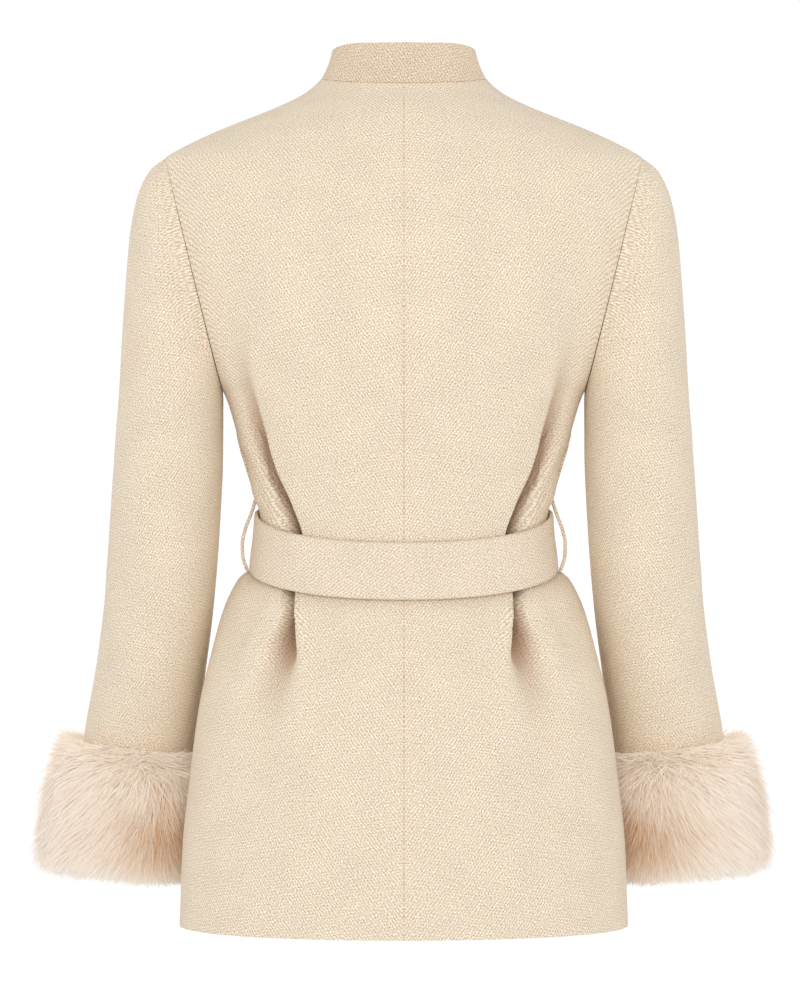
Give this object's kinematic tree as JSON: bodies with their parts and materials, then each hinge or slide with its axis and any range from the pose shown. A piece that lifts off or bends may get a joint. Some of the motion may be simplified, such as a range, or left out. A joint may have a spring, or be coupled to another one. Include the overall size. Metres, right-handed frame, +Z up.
{
  "type": "belted wool coat",
  "caption": "Short wrap coat of cream wool twill with a stand collar, a tie belt through side loops and deep fur cuffs, filled out as worn with nobody in it.",
  "frame": {"origin": "the middle of the neck opening, at the height of the collar seam, where the wearer's neck and shoulders hold the coat up", "axes": "+Z up, +Y out of the back, -Y out of the front, +X towards the wearer's left arm"},
  "size_m": [0.6476, 0.3307, 0.7598],
  "materials": {
    "coat_cloth": "matte wool twill",
    "collar_cloth": "matte wool twill",
    "belt_cloth": "matte wool twill, doubled",
    "cuff_fur": "long soft fur"
  },
  "bodies": {
    "root": {"back_left": "coat_cloth", "back_right": "coat_cloth", "front_left": "coat_cloth", "front_right": "coat_cloth", "sleeve_left": "coat_cloth", "sleeve_right": "coat_cloth", "collar": "collar_cloth", "belt": "belt_cloth", "belt_knot": "belt_cloth", "belt_end_left": "belt_cloth", "belt_end_right": "belt_cloth", "belt_loop_left": "belt_cloth", "belt_loop_right": "belt_cloth", "fur_cuff_left": "cuff_fur", "fur_cuff_right": "cuff_fur"}
  },
  "joints": []
}
